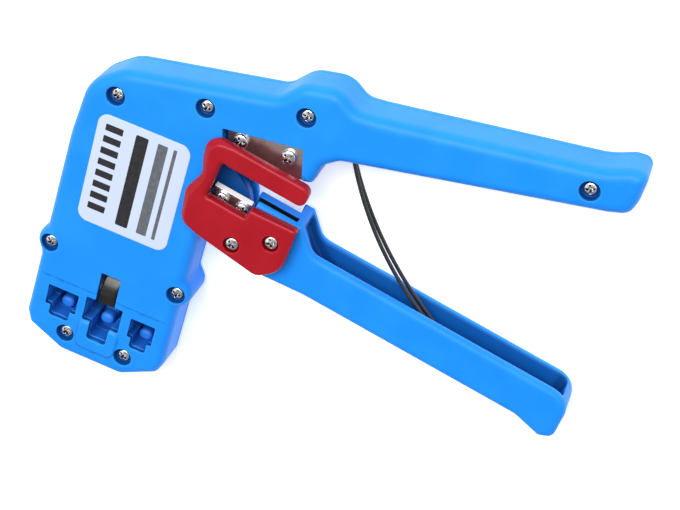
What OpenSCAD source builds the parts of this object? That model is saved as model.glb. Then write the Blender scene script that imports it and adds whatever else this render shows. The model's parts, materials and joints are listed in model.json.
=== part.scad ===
// Modular-plug crimping tool with a hinged grip, a stripping and cutting station
// and three plug pockets. The tool lies on its back, front face up.
// Millimetres. +X runs along the fixed grip, +Y from the hinged grip to the fixed one.

/* [Body] */
// Length from the pivot to the end of the fixed grip
grip_reach = 128; // [120:1:136]
// Width of the fixed grip near its end
fixed_grip_w = 12.5; // [12:0.5:15]
// Thickness of the closed casing
casing_t = 17; // [16.5:0.1:17.6]
// Thickness of the casing walls
wall = 2; // [1.8:0.1:2.2]
// Width of the plug head
head_w = 46; // [45.4:0.2:48]

/* [Plug pockets] */
// Clearance added to each plug body width
pocket_gap = 0.4; // [0.2:0.1:0.6]
// Width of the 8-way plug body
plug_8_w = 11.7; // [11.6:0.1:11.8]
// Width of the 6-way plug body
plug_6_w = 9.65; // [9.6:0.05:9.7]
// Width of the 4-way plug body
plug_4_w = 7.62; // [7.5:0.02:7.7]

/* [Hinge] */
// Angle of the hinged grip below the fixed grip when open
open_angle = 20.5; // [19:0.5:22]
// Angle that the hinged grip closes through
close_angle = 22; // [20:0.5:23]
// Distance from the pivot to the cam pin that drives the ram
cam_arm = 14; // [13.5:0.1:14.2]
// Radius of the pivot pin
pivot_r = 2.5; // [2.3:0.1:2.6]

/* [Hinged grip] */
// Length from the pivot to the end of the hinged grip
lever_reach = 125; // [118:1:130]
// Depth of the grip from its open top to its back
grip_depth = 13.9; // [13.5:0.1:15]
// Thickness of the grip's side walls
grip_wall = 3; // [2.6:0.1:3.4]

/* [Hidden] */

far = 60;
head_tilt = 12.5;
head_axis = -20;
head_bottom = -70.1;
half_head = head_w / 2;

// Pockets: [centre from the head's axis, top, height, latch channel width, channel height]
pocket_8 = [0.4, -46.4, 8.4, 6.4, 6];
pocket_6 = [-13.4, -47.6, 7, 6.4, 3.6];
pocket_4 = [13.8, -47.6, 6.8, 5.2, 3.6];

// Slot of the press finger: [left, bottom, width, height] from the head's axis
finger_slot = [-2.8, -48, 6.4, 12.2];

// Heights above the back face
split_z = 4.5;
front_in_z = casing_t - wall;
bay_z = 12.4;
web_z = 8.2;
plate_t = 1.5;
front_plate_end = -45.8;
stop_z = 7;
pad_z = 10.8;
rear_plate_z = 2.2;
front_plate_z = 9.4;
ram_z = [3.9, 9.2];
lever_z = [5, 8];
cam_pin_z = [3.95, 9.15];
blade_t = 1.2;
tongue_z = [12.6, 14];
upper_blade_z = [12.45, 14];
lower_blade_z = 14.15;
lower_edge_t = 9.1;
bevel_angle = 38;
grip_z = [1.6, 16];
block_z = 8.5;
guard_z = [17.6, 21];
finger_z = [12.2, 15.6];

// Cutting edge of the fixed blade, and the line that the rest of its lower side keeps to
edge_x = [16.4, 27.2];
edge_y = 10.2;
blade_root_y = 13.2;

// Lower edge of the web and top of the way through the boss, clear of the closed lever
lever_clear_y = 6.6;
guard_screw_tip = 12.7;
plate_lobe_r = 8.2;

// Screws and their seats
seat_r = 2.9;
seat_depth = 2.8;
shank_r = 1.25;
head_r = 2.05;
head_h = 1.6;
big_head_r = 2.4;
boss_r = 4.5;

// Pivot joint
boss_sweep_r = 15;
sweep_gap = 0.4;
run_gap = 0.06;
lobe_r = 4.2;
lobe_top_z = 14.9;
pin_top_z = 15.1;
boss_floor_y = -10.8;
underside_y = 13.2;
cam_start = close_angle / 2;

// Hinged grip outline, measured in its own frame
grip_top = 3.3;
grip_bottom = grip_top - grip_depth;
block_left = 15;
block_right = 30.8;
block_top = 10.4;

// Points and radii of the outlines: [x, y, corner radius], counter-clockwise
function unit(v) = v / norm(v);
function left_of(v) = [-v[1], v[0]];
function xy(c) = [c[0], c[1]];
function turn(a, b) = a[0] * b[1] - a[1] * b[0];
function near(list, i) = list[(i + len(list)) % len(list)];

// The outline moved inwards by d, with its corner radii adjusted to match
function inset(list, d) = [
    for (i = [0 : len(list) - 1])
        let (u = unit(xy(list[i]) - xy(near(list, i - 1))),
             v = unit(xy(near(list, i + 1)) - xy(list[i])),
             p = xy(list[i]) + (left_of(u) + left_of(v)) * d / (1 + u * v),
             r = list[i][2] + (turn(u, v) > 0 ? -d : d))
        [p[0], p[1], list[i][2] == 0 ? 0 : max(r, 0.2)]];

// The outline with each corner rounded by an arc of about 12 degree steps
function rounded(list) = [
    for (i = [0 : len(list) - 1])
        let (b = xy(list[i]),
             u = unit(b - xy(near(list, i - 1))),
             v = unit(xy(near(list, i + 1)) - b),
             way = turn(u, v) > 0 ? 1 : -1,
             bend = acos(min(1, max(-1, u * v))),
             r = list[i][2],
             c = b - u * r * tan(bend / 2) + left_of(u) * r * way,
             steps = r == 0 ? 0 : ceil(bend / 12))
        for (k = [0 : steps])
            steps == 0 ? b
            : let (a = way * bend * k / steps)
              c - way * r * (left_of(u) * cos(a) - u * sin(a))];

// A point given in the head's frame, returned in the pivot's frame
function from_head(u, v, r = 0) = [
    u * cos(head_tilt) + v * sin(head_tilt),
    -u * sin(head_tilt) + v * cos(head_tilt), r];

body_corners = [
    from_head(head_axis - 10.5, head_bottom, 5),
    from_head(head_axis + 10.5, head_bottom, 5),
    from_head(head_axis + 21.5, head_bottom + 6, 2.5),
    from_head(head_axis + half_head, head_bottom + 10, 3),
    from_head(head_axis + half_head, 2),
    [9, underside_y, 0],
    [34.4, underside_y, 1.5],
    [37.2, 19.4, 4],
    [42, 21.8, 6],
    [grip_reach - 9.5, 21.8, 2],
    [grip_reach - 3.5, 22.4, 4],
    [grip_reach - 1.5, 27, 3],
    [grip_reach + 0.3, 35.2, 2.6],
    [grip_reach - 5, 35.9, 3],
    [grip_reach - 12, 21.8 + fixed_grip_w, 20],
    [52, 37.4, 12],
    [46.2, 38, 5],
    [40.8, 43.4, 8],
    [30, 43.4, 8],
    [22.8, 37.9, 7],
    [-24, 38, 12],
    from_head(head_axis - 21.2, 23.9, 12),
    from_head(head_axis - half_head, 6, 20),
    from_head(head_axis - half_head - 1.3, head_bottom + 9.5, 2.5),
    from_head(head_axis - 22.6, head_bottom + 5.4, 2.5)];

shell_screw_at = [
    from_head(-31.6, 23.5), from_head(-4.9, 30.9), [31.9, 34, 0],
    [grip_reach - 15, 28, 0], from_head(head_axis - 21.4, -33), from_head(head_axis + 21.2, -33),
    from_head(head_axis - 10, -62.8), from_head(head_axis + 10, -62.8)];

// The tool's box, which places the pivot so that the box is centred on the origin
body_x = [for (c = rounded(body_corners)) c[0]];
body_y = [for (c = rounded(body_corners)) c[1]];
box_mid = [(min(body_x) + max(body_x)) / 2, (min(body_y) + max(body_y)) / 2];

module at_pivot() { translate([-box_mid[0], -box_mid[1], 0]) children(); }
module head_frame() { at_pivot() rotate([0, 0, -head_tilt]) children(); }
module grip_frame() { at_pivot() rotate([0, 0, -open_angle]) children(); }
module slab(z0, z1) { translate([0, 0, z0]) linear_extrude(z1 - z0) children(); }
module box(a, b) { translate(a) cube(b - a); }
module rod(at, r, z0, z1) { translate([at[0], at[1], z0]) cylinder(r = r, h = z1 - z0, $fn = 48); }

// ---------------------------------------------------------------- casing

// Outline of both shells; d insets it for the hollow inside
module casing_2d(d = 0) {
    polygon(rounded(inset(body_corners, d)));
    intersection() {
        circle(r = boss_sweep_r - d, $fn = 120);
        translate([-2, boss_floor_y + d]) square([far, underside_y + 2 - boss_floor_y]);
    }
    for (i = [4, 5]) translate(xy(shell_screw_at[i])) circle(r = boss_r - d, $fn = 64);
}

// Low web that closes the bay behind the cutting gap
module web_2d() {
    translate([8, lever_clear_y]) square([11.5, underside_y - lever_clear_y + 1]);
}

// Stretch of the front face that is sunk for the blades and the grip's tongue
module bay_2d() {
    polygon([[8, boss_floor_y - 1], [33, boss_floor_y - 1], [33, underside_y - 2],
             [31.6, underside_y], [31.6, 24.1], [7.4, 26], [7.4, 15], [2, 14], [2, 8.4],
             [-0.6, 7.6], [-0.6, -6.2]]);
}

// Profile of one plug: its body, with the latch channel below
module plug_2d(pocket, body_w) {
    w = body_w + pocket_gap;
    translate([head_axis + pocket[0], pocket[1] - pocket[2]]) {
        translate([-w / 2, 0]) square([w, pocket[2]]);
        translate([-pocket[3] / 2, -pocket[4]]) square([pocket[3], pocket[4] + 1]);
    }
}

module plugs_2d() {
    plug_2d(pocket_8, plug_8_w);
    plug_2d(pocket_6, plug_6_w);
    plug_2d(pocket_4, plug_4_w);
}

// Slot above the middle pocket, where the press finger travels
module finger_slot_2d() {
    translate([head_axis + finger_slot[0], finger_slot[1]]) square([finger_slot[2], finger_slot[3]]);
}

// Slot in the underside of the fixed grip that the spring wires leave through
module spring_slot() { box([42.6, 16, 7], [49.4, 25, 13]); }

// Way through the pivot boss for the lever plate
module lever_slot() { box([5, boss_floor_y - 3, 4.7], [24, lever_clear_y, 8.3]); }

module front_shell() {
    color([0.13, 0.56, 1]) difference() {
        union() {
            at_pivot() difference() {
                slab(split_z, casing_t) casing_2d();
                slab(split_z - 1, front_in_z) casing_2d(wall);
                slab(bay_z, casing_t + 1) bay_2d();
            }
            at_pivot() slab(bay_z - 1.4, bay_z) intersection() {
                casing_2d();
                bay_wall_2d();
            }
            at_pivot() bay_walls();
            at_pivot() slab(split_z, web_z) web_2d();
            at_pivot() for (p = shell_screw_at) {
                rod(p, seat_r + 0.6, casing_t - seat_depth - 1.5, casing_t - 1);
                rod(p, 3, split_z, casing_t - seat_depth);
            }
        }
        at_pivot() for (p = shell_screw_at) {
            rod(p, seat_r, casing_t - seat_depth, casing_t + 1);
            rod(p, shank_r, split_z - 1, casing_t);
        }
        head_frame() slab(front_in_z - 1, casing_t + 1) plugs_2d();
        head_frame() slab(front_in_z - 1, casing_t + 1) finger_slot_2d();
        at_pivot() spring_slot();
        at_pivot() lever_slot();
        // room for the tongue's eye, closed by the face above it
        at_pivot() rod([0, 0], lobe_r + 0.4, bay_z, lobe_top_z);
        at_pivot() rod([0, 0], pivot_r, 5, pin_top_z + 0.1);
        at_pivot() for (p = upper_blade_screw_at) rod(p, shank_r, bay_z - 2, bay_z + 1);
    }
}

// Outside of the walls round the bay
module bay_wall_2d() {
    translate([-3, boss_floor_y - 1]) square([36.6, underside_y - boss_floor_y + 1]);
    polygon([[6, 12], [33, 12], [33, 25.4], [6, 27.4]]);
    circle(r = lobe_r + 1.4, $fn = 64);
}

// Walls between the sunk bay and the front face
module bay_walls() {
    slab(bay_z - 1.4, casing_t - 1) difference() {
        intersection() {
            casing_2d();
            bay_wall_2d();
        }
        bay_2d();
    }
}

module rear_shell() {
    color([0.13, 0.56, 1]) difference() {
        union() {
            at_pivot() difference() {
                slab(0, split_z) casing_2d();
                slab(wall, split_z + 1) casing_2d(wall);
            }
            at_pivot() slab(0, split_z) web_2d();
            at_pivot() for (p = shell_screw_at) rod(p, 3, 1, split_z);
        }
        at_pivot() for (p = shell_screw_at) rod(p, shank_r, 2.4, split_z + 1);
    }
}

// Blank plate in place of the printed label
module name_plate() {
    color([0.86, 0.9, 0.98]) head_frame()
        slab(casing_t, casing_t + 0.25)
            polygon(rounded([[-34.9, -20, 3.5], [-5.3, -20, 3.5], [-5.3, 17.3, 3.5],
                             [-34.9, 17.3, 3.5]]));
}

// ---------------------------------------------------------------- steel frame

stud_at = [[-32.5, -22], [-7.5, -22], [-32.5, 4], [-32, 14]];

module frame_plate_2d() {
    polygon(rounded([
        [-38.2, -58.5, 2], [-2.6, -58.5, 2], [-2.6, -6, 1], [2, 8, 3], [-4, 18, 4], [-38.2, 18, 6]]));
    circle(r = plate_lobe_r, $fn = 96);
}

// Front plate, which ends above the plug nests
module frame_plate_front() {
    color([0.62, 0.64, 0.66]) head_frame() difference() {
        slab(front_plate_z, front_plate_z + plate_t) frame_plate_2d();
        box([-far, head_bottom, front_plate_z - 1], [0, front_plate_end, front_plate_z + 3]);
        slab(front_plate_z - 1, front_plate_z + 3) finger_slot_2d();
        for (p = stud_at) rod(p, 2, front_plate_z - 1, front_plate_z + 3);
        rod([0, 0], pivot_r, front_plate_z - 1, front_plate_z + 3);
    }
}

module frame_plate_rear() {
    color([0.62, 0.64, 0.66]) head_frame() difference() {
        slab(rear_plate_z, rear_plate_z + plate_t) frame_plate_2d();
        for (p = stud_at) rod(p, 2, rear_plate_z - 1, rear_plate_z + 3);
        rod([0, 0], pivot_r, rear_plate_z - 1, rear_plate_z + 3);
    }
}

// Shouldered studs that hold the plates apart; the lower pair guides the ram
module frame_studs() {
    color([0.7, 0.71, 0.73]) head_frame() for (p = stud_at) {
        rod(p, 3.5, rear_plate_z + plate_t, front_plate_z);
        rod(p, 2, rear_plate_z, front_plate_z + plate_t);
    }
}

module pivot_pin() {
    color([0.75, 0.76, 0.78]) at_pivot() difference() {
        rod([0, 0], pivot_r, wall + 0.1, pin_top_z);
        difference() {
            rod([0, 0], pivot_r + 1, 14.15, 14.85);
            rod([0, 0], pivot_r - 0.6, 14, 15);
        }
    }
}

// Snap ring in the pin's groove
module pivot_clip() {
    color([0.2, 0.2, 0.21]) at_pivot() difference() {
        rod([0, 0], 3.5, 14.2, 14.8);
        rod([0, 0], pivot_r - 0.6, 14, 15);
        box([-0.9, -5, 14], [0.9, -1.5, 15]);
    }
}

// ---------------------------------------------------------------- ram and dies

module ram() {
    cam = [-cam_arm * cos(cam_start), cam_arm * sin(cam_start)];
    color([0.5, 0.51, 0.54]) head_frame() difference() {
        slab(ram_z[0], ram_z[1]) polygon(rounded([
            [head_axis - 16.4, -40.5, 1], [head_axis + 16.4, -40.5, 1], [head_axis + 16.4, -31, 2],
            [head_axis + 8.8, -31, 2], [head_axis + 8.8, 8.5, 1], [head_axis - 8.8, 8.5, 1],
            [head_axis - 8.8, -31, 2], [head_axis - 16.4, -31, 2]]));
        slab(lever_z[0] - 0.2, lever_z[1] + 0.2) translate([-18.6, -8]) square([12, 20]);
        slab(ram_z[0] - 1, ram_z[1] + 1) translate([-16.6, cam[1] - 2.12]) square([12, 4.24]);
        rod([-16.6, cam[1]], 2.12, ram_z[0] - 1, ram_z[1] + 1);
    }
}

// Comb of contact blades under a block: ways is the number of contacts
module crimp_die(u, ways) {
    pitch = 1.02;
    w = ways * pitch + 1.6;
    color([0.16, 0.16, 0.17]) head_frame() {
        slab(ram_z[0], ram_z[1]) translate([u - w / 2, -43]) square([w, 2.5]);
        for (i = [0 : ways - 1])
            slab(ram_z[0] + 0.6, ram_z[1] - 0.6)
                translate([u + (i - (ways - 1) / 2) * pitch - 0.25, -44.2]) square([0.5, 1.21]);
    }
}

module crimp_die_8p() { crimp_die(head_axis + pocket_8[0], 8); }
module crimp_die_6p() { crimp_die(head_axis + pocket_6[0], 6); }
module crimp_die_4p() { crimp_die(head_axis + pocket_4[0], 4); }

// Black finger that presses the cord anchor of the widest plug
module cord_press_finger() {
    color([0.06, 0.06, 0.06]) head_frame() translate([head_axis + pocket_8[0], 0, 0]) {
        slab(ram_z[1], finger_z[0] + 0.1) translate([-2.4, -40.4]) square([4.8, 3.2]);
        rotate([0, 90, 0]) translate([0, 0, -2.9]) linear_extrude(5.8) polygon(rounded([
            [-finger_z[0], -47.6, 0.4], [-finger_z[0], -36.6, 0.3], [-finger_z[1] + 1, -36.6, 0.8],
            [-finger_z[1], -40, 4], [-finger_z[1], -43.4, 4], [-finger_z[0] - 0.9, -47.6, 0.4]]));
    }
}

// ---------------------------------------------------------------- plug nests

module nest_2d() {
    difference() {
        union() {
            polygon(rounded([[-38.8, -59.2, 1], [-1.2, -59.2, 1], [-1.2, -47.6, 0.4],
                             [-38.8, -47.6, 0.4]]));
            translate([head_axis - 4.6, -63.4]) square([9.6, 5]);
        }
        plugs_2d();
        finger_slot_2d();
    }
}

module plug_nest_front() {
    color([0.13, 0.53, 0.96]) head_frame() slab(front_plate_z, front_in_z) nest_2d();
}

// Inner nest: each pocket has a stop for the plug's nose and a raised pad that the latch rides on
module plug_nest_rear() {
    color([0.13, 0.53, 0.96]) head_frame() {
        slab(rear_plate_z + plate_t, front_plate_z) nest_2d();
        for (s = [[0.4, -61.4], [-13.4, -58.8], [13.8, -58.8]]) translate([head_axis + s[0], 0]) {
            slab(rear_plate_z + plate_t, stop_z) polygon(rounded([
                [-2.4, s[1], 0.3], [2.4, s[1], 0.3], [2.4, -50.4, 1.8], [-2.4, -50.4, 1.8]]));
            slab(stop_z - 1, pad_z) polygon(rounded([
                [-2.2, -57.7, 1.2], [2.2, -57.7, 1.2], [2.2, -53.9, 1.8], [-2.2, -53.9, 1.8]]));
        }
    }
}

// ---------------------------------------------------------------- screws

// Pan head with a cross recess, on a plain shank
module screw(at, r, seat, tip) {
    translate([at[0], at[1], 0]) difference() {
        union() {
            rod([0, 0], shank_r, tip, seat);
            translate([0, 0, seat]) rotate_extrude($fn = 48) polygon([
                [0, 0], [r, 0], [r, head_h * 0.45], [r * 0.86, head_h * 0.8], [r * 0.5, head_h],
                [0, head_h]]);
        }
        for (a = [0, 90]) rotate([0, 0, a + 20])
            box([-r * 0.62, -0.32, seat + head_h * 0.3], [r * 0.62, 0.32, seat + head_h + 1]);
    }
}

module shell_screws() {
    color([0.8, 0.81, 0.83]) at_pivot()
        for (p = shell_screw_at) screw(p, head_r, casing_t - seat_depth, 2.4);
}

upper_blade_screw_at = [[12.1, 21.9], [26.8, 19.7]];
lower_blade_screw_at = [[5.9, 5.5], [12.5, 5.6]];
guard_screw_at = [[14.9, -3.9], [25.1, 3.1]];

module upper_blade_screws() {
    color([0.8, 0.81, 0.83]) at_pivot()
        for (p = upper_blade_screw_at) screw(p, big_head_r, upper_blade_z[1], bay_z - 1.4);
}

module lower_blade_screws() {
    color([0.8, 0.81, 0.83]) grip_frame()
        for (p = lower_blade_screw_at) screw(p, big_head_r - 0.2, lower_blade_z + blade_t, tongue_z[0]);
}

module guard_screws() {
    color([0.8, 0.81, 0.83]) grip_frame()
        for (p = guard_screw_at) screw(p, head_r + 0.1, guard_z[0] + 1.4, guard_screw_tip);
}

// ---------------------------------------------------------------- blades

// Fixed blade: a screwed plate with a tongue that is ground to an edge and enters
// the slot of the blade block
module upper_blade() {
    color([0.72, 0.73, 0.75]) at_pivot() difference() {
        slab(upper_blade_z[0], upper_blade_z[1])
            polygon([[8, blade_root_y], [edge_x[0], blade_root_y], [edge_x[0], edge_y],
                     [edge_x[1], edge_y], [edge_x[1], blade_root_y], [31, blade_root_y],
                     [31, 23.6], [8, 25.4]]);
        for (p = upper_blade_screw_at) rod(p, shank_r, bay_z - 1, casing_t);
        translate([0, edge_y, upper_blade_z[0]])
            rotate([-50, 0, 0]) box([edge_x[0] - 1, -2, -2], [edge_x[1] + 1, 1.8, 0]);
    }
}

// Moving blade, with its bright bevel along the upper side
module lower_blade() {
    color([0.9, 0.9, 0.92]) grip_frame() difference() {
        box([2.4, 3.6, lower_blade_z], [14.8, lower_edge_t, lower_blade_z + blade_t]);
        for (p = lower_blade_screw_at) rod(p, shank_r, tongue_z[0], casing_t);
        translate([0, lower_edge_t, lower_blade_z])
            rotate([bevel_angle, 0, 0]) box([2, 0, -1], [15.2, 3, 3]);
    }
}

// ---------------------------------------------------------------- return spring

wire_r = 0.6;
post_at = [47.2, 29.4];
// Wires: [coil radius, height, heading where it leaves the coil, bow radius, bend]
wires = [[4.6, 8.6, -77.5, 121, 32.5], [3.7, 11.2, -80.3, 107, 35]];

// A wire bent to one arc: it starts at p, heads at angle a and turns left by bend degrees
module wire_arc(p, a, radius, bend, z) {
    c = p + radius * [-sin(a), cos(a)];
    translate([c[0], c[1], z]) rotate([0, 0, a - 90])
        rotate_extrude(angle = bend, $fn = 240) translate([radius, 0]) circle(r = wire_r, $fn = 16);
}

// Two wires: each runs from a coil round the post into the hinged grip
module return_spring() {
    color([0.1, 0.1, 0.1]) at_pivot() for (w = wires) {
        wire_arc(post_at - [w[0], 0], w[2], w[3], w[4], w[1]);
        translate([post_at[0], post_at[1], w[1]])
            rotate_extrude($fn = 64) translate([w[0], 0]) circle(r = wire_r, $fn = 16);
    }
}

module spring_post() {
    color([0.6, 0.61, 0.63]) at_pivot() rod(post_at, 2.4, wall, front_in_z);
}

// ---------------------------------------------------------------- hinged grip

grip_corners = [
    [11.9, -9.8, 0],
    [25, -12, 8],
    [40, grip_bottom, 30],
    [lever_reach - 13, grip_bottom, 8],
    [lever_reach - 3.8, grip_bottom - 2.6, 2.4],
    [lever_reach + 0.2, grip_bottom - 0.6, 2.6],
    [lever_reach - 0.8, grip_top, 7],
    [37, grip_top, 5],
    [block_right, block_top, 0.8],
    [block_left, block_top, 0.3],
    [block_left, -2, 0]];

// Hollow of the grip, with a curved ramp at its inner end
channel_corners = [
    [46, grip_bottom + grip_wall, 10],
    [lever_reach - 12, grip_bottom + grip_wall, 8],
    [lever_reach - 3.6, grip_bottom + grip_wall - 1.6, 2.5],
    [lever_reach - 4.2, grip_top + 6, 1],
    [30.8, grip_top + 9, 0.5],
    [31.4, grip_top + 2.2, 3],
    [35, grip_top - 2.3, 6]];

// Space round the pivot that the grip's moulding keeps out of
module sweep_2d() { circle(r = boss_sweep_r + sweep_gap, $fn = 120); }

module tongue_2d() {
    polygon([[0, -lobe_r], [block_left + 2, -4.5], [block_left + 2, 7], [3, 7], [0, lobe_r]]);
    circle(r = lobe_r, $fn = 64);
}

module lower_handle() {
    color([0.13, 0.56, 1]) grip_frame() difference() {
        union() {
            difference() {
                slab(grip_z[0], grip_z[1]) difference() {
                    polygon(rounded(grip_corners));
                    sweep_2d();
                }
                slab(grip_z[0] + grip_wall, grip_z[1] - grip_wall)
                    polygon(rounded(channel_corners));
                // room behind the blade block, up to the end wall of the channel
                slab(grip_z[0] + 1.8, block_z) translate([12, grip_top]) square([16, 10]);
                slab(grip_z[0] - 1, grip_z[0] + 2) translate([12, grip_top]) square([15.6, 10]);
            }
            slab(tongue_z[0], tongue_z[1]) tongue_2d();
            for (p = guard_screw_at) rod(p, 3.4, grip_z[1] - 1, guard_z[0]);
        }
        // slot that the fixed blade enters
        box([block_left + 0.8, 6.4, upper_blade_z[0] - 0.35], [28.6, 20, upper_blade_z[1] + 0.3]);
        box([block_left - 4, 7.4, upper_blade_z[0] - 0.35], [block_left + 1, 20, casing_t]);
        box([9, -6, lever_z[0]], [29.2, 3, lever_z[1]]);
        rod([0, 0], pivot_r + run_gap, tongue_z[0] - 1, tongue_z[1] + 1);
        for (p = lower_blade_screw_at) rod(p, shank_r, tongue_z[0] - 1, tongue_z[1] + 1);
        for (p = guard_screw_at) rod(p, shank_r, guard_screw_tip, casing_t + 2);
    }
}

// Steel lever moulded into the grip, with the cam arm on the far side of the pivot
module lever_plate() {
    a = 180 - cam_start - head_tilt + open_angle;
    nose = cam_arm * [cos(a), sin(a)];
    color([0.55, 0.56, 0.58]) grip_frame() slab(lever_z[0], lever_z[1]) difference() {
        polygon(rounded([
            [29.2, -5.6, 0.5], [29.2, 3, 0.5], [14, 3, 6], [8, 5.8, 4], [-4, 5.8, 8],
            [nose[0] - 3.2, nose[1] + 3.2, 3.1], [nose[0] - 3.2, nose[1] - 3.2, 3.1], [-5, -5.6, 8]]));
        circle(r = pivot_r + run_gap, $fn = 64);
        translate(nose) circle(r = 2, $fn = 48);
    }
}

module cam_pin() {
    color([0.75, 0.76, 0.78]) head_frame()
        rod([-cam_arm * cos(cam_start), cam_arm * sin(cam_start)], 2, cam_pin_z[0], cam_pin_z[1]);
}

// ---------------------------------------------------------------- blade guard

guard_corners = [
    [-2.2, -5.8, 4],
    [25.4, -9.4, 4],
    [31.4, -4.2, 8],
    [30.4, 11, 0.8],
    [15.5, 9.9, 0.6],
    [14.9, 6.5, 0.5],
    [2.2, 6.7, 0.7],
    [2.2, 18.9, 1.2],
    [28.9, 18.8, 2.2],
    [28.9, 25.2, 2.6],
    [-1.4, 25.2, 4],
    [-4.6, 22, 4],
    [-3.6, 16.6, 8],
    [-1.8, 12, 5],
    [-4.6, 4.6, 6]];

module blade_guard() {
    color([0.7, 0.13, 0.19]) grip_frame() difference() {
        slab(guard_z[0], guard_z[1]) polygon(rounded(guard_corners));
        for (p = guard_screw_at) {
            rod(p, 2.5, guard_z[0] + 1.4, guard_z[1] + 1);
            rod(p, shank_r, guard_z[0] - 1, guard_z[1]);
        }
    }
}

front_shell();
rear_shell();
name_plate();
frame_plate_front();
frame_plate_rear();
frame_studs();
pivot_pin();
pivot_clip();
ram();
crimp_die_8p();
crimp_die_6p();
crimp_die_4p();
cord_press_finger();
plug_nest_front();
plug_nest_rear();
upper_blade();
upper_blade_screws();
shell_screws();
return_spring();
spring_post();
lower_handle();
lever_plate();
cam_pin();
blade_guard();
guard_screws();
lower_blade();
lower_blade_screws();
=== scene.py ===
import json
import math

import bpy
import numpy as np
import openvdb
from mathutils import Matrix, Vector


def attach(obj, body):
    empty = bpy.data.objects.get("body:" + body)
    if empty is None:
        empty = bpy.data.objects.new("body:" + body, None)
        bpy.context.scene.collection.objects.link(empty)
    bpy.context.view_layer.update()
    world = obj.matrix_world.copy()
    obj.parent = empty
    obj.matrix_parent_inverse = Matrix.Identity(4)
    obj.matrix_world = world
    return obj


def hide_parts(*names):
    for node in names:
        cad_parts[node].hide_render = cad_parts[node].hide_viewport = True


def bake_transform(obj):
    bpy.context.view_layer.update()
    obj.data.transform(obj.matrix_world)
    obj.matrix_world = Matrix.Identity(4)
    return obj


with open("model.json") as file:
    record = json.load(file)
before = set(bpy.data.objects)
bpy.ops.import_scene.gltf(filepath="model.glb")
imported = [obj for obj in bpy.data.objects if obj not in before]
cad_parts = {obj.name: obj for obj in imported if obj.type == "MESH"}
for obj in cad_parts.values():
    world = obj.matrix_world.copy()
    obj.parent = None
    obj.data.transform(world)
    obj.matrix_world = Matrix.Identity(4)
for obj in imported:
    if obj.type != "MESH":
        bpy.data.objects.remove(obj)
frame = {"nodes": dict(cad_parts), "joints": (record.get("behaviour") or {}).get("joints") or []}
bpy.context.scene.view_settings.view_transform = "Standard"


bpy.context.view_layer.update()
HINGE = next(j for j in frame["joints"] if j["name"] == "grip_hinge")
PIVOT = np.array(HINGE["pos_m"]) * 1000

# ------------------------------------------------------------------ sizes, in millimetres
# Outlines are measured from the hinge pivot; z is the height above the back face.
HEAD_TILT = 12.5
OPEN_ANGLE = 20.5
CASING_T = 17.0
SPLIT_Z = 4.5
WALL = 2.0
BAY_Z = 12.4
WEB_Z = 8.2
LEVER_CLEAR_Y = 6.6
HEAD_AXIS = -20.0
HEAD_BOTTOM = -70.1
HALF_HEAD = 23.0
GRIP_REACH = 128.0
LEVER_REACH = 125.0
GRIP_DEPTH = 13.9
GRIP_WALL = 3.0
SEAT_R = 2.9
SEAT_DEPTH = 2.8
BOSS_R = 4.5
BOSS_SWEEP_R = 15.0
BOSS_FLOOR_Y = -10.8
UNDERSIDE_Y = 13.2
LOBE_R = 4.2
GRIP_Z = (1.6, 16.0)
BLOCK_Z = 8.5
TONGUE_Z = (12.6, 14.0)
GUARD_Z = (17.6, 21.0)
UPPER_BLADE_Z = (12.45, 14.0)
LOWER_BLADE_Z = 14.15
BLADE_T = 1.2
THREAD_R = 1.25
CASING_WALL_Z = CASING_T - WALL - 1
LOBE_TOP_Z = 14.9
PIN_TOP_Z = 15.2
STOP_HALF_W = 2.4
STOP_Z = 7
PAD_HALF_W = 2.2
PAD_Z = 10.8
POCKET_FOOT = (("8p", -61.4), ("6p", -58.8), ("4p", -58.8))
SCREW_POST_R = 3
GUARD_SEAT_Z = GUARD_Z[0] + 1.4
GUARD_TIP_Z = 12.7
SHELL_TIP_Z = 2.4
PIN_HOLE_R = 2.5
LOW_FACE_TOP = -44.0
LOW_FACE_DEPTH = 0.22
RIM_TOP = -55.4
RIM_RISE = 0.32
FINGER_HALF_W = 2.9
POCKETS = {
    "8p": (0.4, -46.4, 8.4, 12.1, 6.4, 6.0),
    "6p": (-13.4, -47.6, 7.0, 10.05, 6.4, 3.6),
    "4p": (13.8, -47.6, 6.8, 8.02, 5.2, 3.6),
}
FINGER_SLOT = (-22.8, -48.0, -16.4, -35.8)


def from_head(u, v, r=0.0):
    """A point of the head's frame, in the pivot's frame."""
    a = math.radians(HEAD_TILT)
    return (
        u * math.cos(a) + v * math.sin(a),
        -u * math.sin(a) + v * math.cos(a),
        r,
    )


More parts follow.
